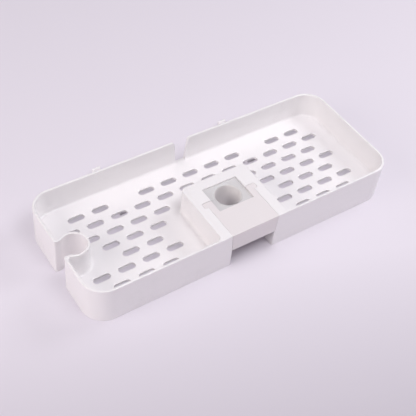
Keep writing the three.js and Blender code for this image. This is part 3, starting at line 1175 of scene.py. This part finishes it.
    def ring_webs(self) -> Form:
        """Makes the webs that lead the ring's two ends into the end wall.

        Returns:
            The webs, each hollowed by a fillet.
        """
        x, y = self.ring
        fillet = self.web_fillet
        wall_face = self.wall - self.half_length
        middle = wall_face + fillet
        reach = math.sqrt((self.ring_radius + fillet) ** 2 - (middle - x) ** 2)
        lean = math.atan2(reach, middle - x)
        upper = arc(middle, reach, fillet, lean - math.pi, -math.pi)
        upper.append((wall_face - self.wall / 2, reach))
        lower = [(px, -py) for px, py in reversed(upper)]
        plan = [(px, y + py) for px, py in upper + lower]
        return Form.loft([level(plan, 0), level(plan, self.height - self.ring_edge)])

    def keyhole(self, grow: float) -> list[Point]:
        """Draws the ring's bore and its slit through the end wall, in plan.

        Args:
            grow: How much larger the outline is all round.

        Returns:
            The outline's points, anticlockwise.
        """
        x, y = self.ring
        bore = self.ring_bore / 2 + grow
        half = self.slit_half + grow
        turn = self.slit_round - grow
        edge = self.slit_edge - grow
        outer = -self.half_length - x
        turn_x = -math.sqrt((bore + turn) ** 2 - (half + turn) ** 2)
        lean = math.atan2(half + turn, turn_x)
        upper = arc(0, 0, bore, 0, lean)
        upper += arc(turn_x, half + turn, turn, lean - math.pi, -QUARTER)
        upper += arc(outer + edge, half + edge, edge, -QUARTER, -2 * QUARTER)
        upper.append((outer - OVERRUN, half + edge))
        lower = [(px, -py) for px, py in reversed(upper[1:])]
        return [(x + px, y + py) for px, py in upper + lower]

    def front_notch(self) -> Form:
        """Makes the notch in the front wall.

        Returns:
            The form that is cut away, whose sloping sides round over into the rim.
        """
        lean = (self.notch_top - self.notch_foot) / (self.height - self.floor_top)
        start = Vector((self.notch_top - lean * self.notch_round, self.height - self.notch_round))
        bend = Vector((self.notch_top, self.height))
        end = Vector((self.notch_top + self.notch_round, self.height))
        side = [(self.notch_foot, self.floor_top)]
        for step in range(ARC_STEPS + 1):
            t = step / ARC_STEPS
            point = start.lerp(bend, t).lerp(bend.lerp(end, t), t)
            side.append((point.x, point.y))
        side.append((end.x, self.height + OVERRUN))
        outline = side + [(-x, z) for x, z in reversed(side)]
        return Form.along_y(outline, self.front - self.wall - self.floor_fillet, self.front + OVERRUN)

    def hook_boxes(self, half: float, *rest: float) -> list[Form]:
        """Returns a box of some half width at each hook."""
        return [Form.block(x - half, x + half, *rest) for x in (-self.hooks.place, self.hooks.place)]

    def sleeves(self) -> list[Form]:
        """Returns the sleeves under the floor that the hooks plug into, still solid."""
        high = self.floor_top - self.floor_thickness / 2
        return self.hook_boxes(self.sleeve_half, self.sleeve_rear, self.front - self.wall / 2, 0, high)

    def sleeve_holes(self) -> list[Form]:
        """Returns what is cut out of the sleeves."""
        rest = (self.front + OVERRUN, self.hooks.low - FIT, self.hooks.bar_top + FIT)
        return self.hook_boxes(self.hooks.half + FIT, self.sleeve_rear + self.sleeve_wall, *rest)

    def keep_clear(self, margin: float) -> Form:
        """Lays out what the drain slots keep away from, as flat faces at height zero.

        Args:
            margin: The slots' margin, of which the hook sleeves need only half.

        Returns:
            The faces, as a form that is no solid.
        """
        inner = self.half_length - self.wall
        far = 2 * self.half_length
        half = self.sleeve_half - margin / 2
        rear = self.sleeve_rear + margin / 2
        outlines = [
            rectangle(-self.housing_half, self.housing_half, self.rear, self.housing_front),
            rectangle(inner, far, self.rear, self.front),
            rectangle(-far, -inner, self.rear, self.front),
            circle(*self.ring, self.ring_radius),
        ]
        for x in (-self.hooks.place, self.hooks.place):
            outlines.append(rectangle(x - half, x + half, rear, self.front))
        work = bmesh.new()
        for outline in outlines:
            work.faces.new([work.verts.new(point) for point in level(outline, 0)])
        return Form(work)

    def build(self) -> list[bpy.types.Object]:
        """Builds and dresses the tray.

        Returns:
            The tray, alone in its list.
        """
        material = WHITE_PLASTIC.material()
        shell = self.outside().cut(self.bin(), self.underside(), self.housing_hollow())
        ring = self.ring_post().join(self.ring_webs()).keep(self.outside())
        shell.join(*self.clamp_walls(), ring, *self.sleeves())
        ring_bore = Form.flared(self.keyhole, -OVERRUN, self.height, self.ring_edge)
        shell.cut(*self.clamp_cuts(), ring_bore, self.front_notch(), *self.sleeve_holes())
        pattern = DrainPattern(self.middle + self.slot_shift, self.floor_top, self.floor_thickness)
        pattern.drain(shell, self.keep_clear(pattern.margin), material)
        shell.tidy()
        return [shell.finish("perforated_tray", material, Body.CARRIER, "tray", MaterialSlot.WHITE)]


@dataclass(frozen=True)
class LockBlock:
    """The wedge that closes the clamp: two arms with ears, a pad pocket, and cores from below."""

    clamp: Clamp
    edge: float = 0.25
    fill: float = 0.18

    def build(self) -> list[bpy.types.Object]:
        """Builds and dresses the block.

        Returns:
            The block, alone in its list.
        """
        clamp = self.clamp
        pad_half, pad_far = clamp.pocket
        reach = clamp.ear_tip + OVERRUN
        room = Form.block(-reach, reach, clamp.rear, -clamp.split, clamp.foot, clamp.top + OVERRUN)
        ears = clamp.ear_bar(self.fill, 0).keep(room)
        wedge = Form.along_y(clamp.wedge(self.fill, 0), clamp.rear, -clamp.split)
        pocket = Form.block(-pad_half, pad_half, -pad_far, 0, clamp.rear_low - FIT, clamp.top + OVERRUN)
        cores = Form.pair(
            clamp.rib / 2,
            clamp.half_foot - clamp.wall,
            clamp.rear + clamp.wall,
            -pad_far - clamp.wall,
            clamp.foot - OVERRUN,
            clamp.top - clamp.wall,
        )
        block = wedge.join(ears).cut(pocket, cores, clamp.rod_relief(clamp.rear_low)).bevel(self.edge)
        material = WARM_PLASTIC.material()
        return [block.finish("wedge_lock_block", material, Body.LOCK, "lock_block", MaterialSlot.WARM)]


@dataclass(frozen=True)
class GripPads:
    """The two halves of the soft grip round the rod."""

    clamp: Clamp
    edge: float = 0.25
    seam: float = 0.05
    squeeze: float = 0.27

    def bore(self) -> Form:
        """Makes the rod's bore.

        Returns:
            The form that is cut away, which rolls over into a lip at the top.
        """
        clamp = self.clamp
        radius = clamp.bore / 2
        low = clamp.front_low - OVERRUN
        return Form.flared(lambda grow: circle(0, 0, radius + grow), low, clamp.pad_top, clamp.lip)

    def build(self) -> list[bpy.types.Object]:
        """Builds and dresses both pads.

        Returns:
            The front and the rear pad.
        """
        clamp = self.clamp
        material = GREY_GRIP.material()
        pieces = []
        choices = (
            ("front_grip_pad", Body.CARRIER, 1, clamp.front_low),
            ("rear_grip_pad", Body.LOCK, -1, clamp.rear_low),
        )
        for name, body, side, low in choices:
            near, far = sorted((side * self.seam, side * (clamp.pad_far + self.squeeze)))
            half = clamp.pad_half + self.squeeze
            pad = Form.block(-half, half, near, far, low, clamp.pad_top)
            pad.cut(self.bore()).bevel(self.edge, segments=3)
            pieces.append(pad.finish("soft_" + name, material, body, name, MaterialSlot.GRIP))
        return pieces


@dataclass(frozen=True)
class Softbox:
    """A square area lamp that points at the object."""

    name: str
    place: tuple[float, float, float]
    size: float
    power: float
    colour: Colour

    def build(self, aim: Vector) -> None:
        """Sets up the lamp.

        Args:
            aim: The point that it faces, in metres.
        """
        light = bpy.data.lights.new(self.name, "AREA")
        light.shape = "SQUARE"
        light.size = self.size
        light.energy = self.power
        light.color = self.colour
        lamp = in_scene(self.name, light)
        lamp.location = self.place
        lamp.rotation_euler = (aim - Vector(self.place)).to_track_quat("-Z", "Y").to_euler()


@dataclass(frozen=True)
class Studio:
    """The table, the light and the camera."""

    table_size: float = 8.0
    table_drop: float = 0.0001
    zenith: Colour = (0.3, 0.28, 0.31)
    horizon: Colour = (0.17, 0.16, 0.17)
    softboxes: tuple[Softbox, ...] = (
        Softbox("overhead softbox", (0.12, 0.08, 0.85), 0.7, 0.4, (1.0, 0.98, 1.0)),
        Softbox("left softbox", (-1.1, 0.0, 0.6), 0.75, 7.1, (1.0, 0.95, 0.92)),
        Softbox("right softbox", (0.75, -0.05, 0.68), 0.36, 3.45, (0.97, 0.98, 1.0)),
        Softbox("front softbox", (0.1, -0.47, 1.05), 0.4, 4.1, (0.97, 0.975, 1.0)),
    )
    azimuth: float = 38.374
    elevation: float = 47.148
    roll: float = 6.998
    distance: float = 0.76947
    aim: tuple[float, float, float] = (-0.00989, 0.01327, 0.0126)
    lens: float = 72.97
    sensor: float = 36.0

    def table(self) -> bpy.types.Object:
        """Lays the table that the object stands on.

        Returns:
            The table.
        """
        half = self.table_size / 2
        mesh = bpy.data.meshes.new("table")
        mesh.from_pydata(level(rectangle(-half, half, -half, half), -self.table_drop), [], [(0, 1, 2, 3)])
        mesh.materials.append(PALE_TABLE.material())
        return in_scene("table", mesh)

    def world(self) -> bpy.types.World:
        """Makes a soft sky whose colour changes evenly from the horizon up to the zenith.

        Returns:
            The world.
        """
        world = bpy.data.worlds.new("soft sky")
        world.use_nodes = True
        tree = Tree(world.node_tree)
        direction = tree.wire("ShaderNodeTexCoord", "Generated")
        rise = tree.wire("ShaderNodeSeparateXYZ", "Z", {0: direction})
        tint = tree.mix(rise, self.horizon, self.zenith)
        sky = tree.wire("ShaderNodeBackground", 0, {"Color": tint})
        tree.add("ShaderNodeOutputWorld", {"Surface": sky})
        return world

    def camera(self) -> bpy.types.Object:
        """Places the camera at the photograph's angle.

        Returns:
            The camera.
        """
        turn, rise, roll = (math.radians(angle) for angle in (self.azimuth, self.elevation, self.roll))
        forward = Vector((math.sin(turn) * math.cos(rise), math.cos(turn) * math.cos(rise), -math.sin(rise)))
        axes = forward.to_track_quat("-Z", "Y").to_matrix() @ Matrix.Rotation(roll, 3, "Z")
        data = bpy.data.cameras.new("camera")
        data.lens = self.lens
        data.sensor_width = self.sensor
        data.sensor_fit = "HORIZONTAL"
        camera = in_scene("camera", data)
        place = Vector(self.aim) - forward * self.distance
        camera.matrix_world = Matrix.Translation(place) @ axes.to_4x4()
        return camera

    def build(self) -> None:
        """Sets up the table, the light, the camera and the colour management."""
        scene = bpy.context.scene
        self.table()
        for softbox in self.softboxes:
            softbox.build(Vector(self.aim))
        scene.world = self.world()
        scene.camera = self.camera()
        scene.view_settings.view_transform = "Standard"


def main() -> None:
    """Builds the caddy's pieces in order and reports each, then builds the studio round them."""
    clamp = Clamp.from_frame()
    hooks = Hooks.from_frame()
    for assembly in (Tray.from_frame(clamp, hooks), LockBlock(clamp), GripPads(clamp), hooks):
        for piece in assembly.build():
            log.info("%s: %d faces", piece.name, len(piece.data.polygons))
    Studio().build()


if __name__ == "__main__":
    logging.basicConfig(level=logging.INFO, format="%(name)s: %(message)s")
    main()
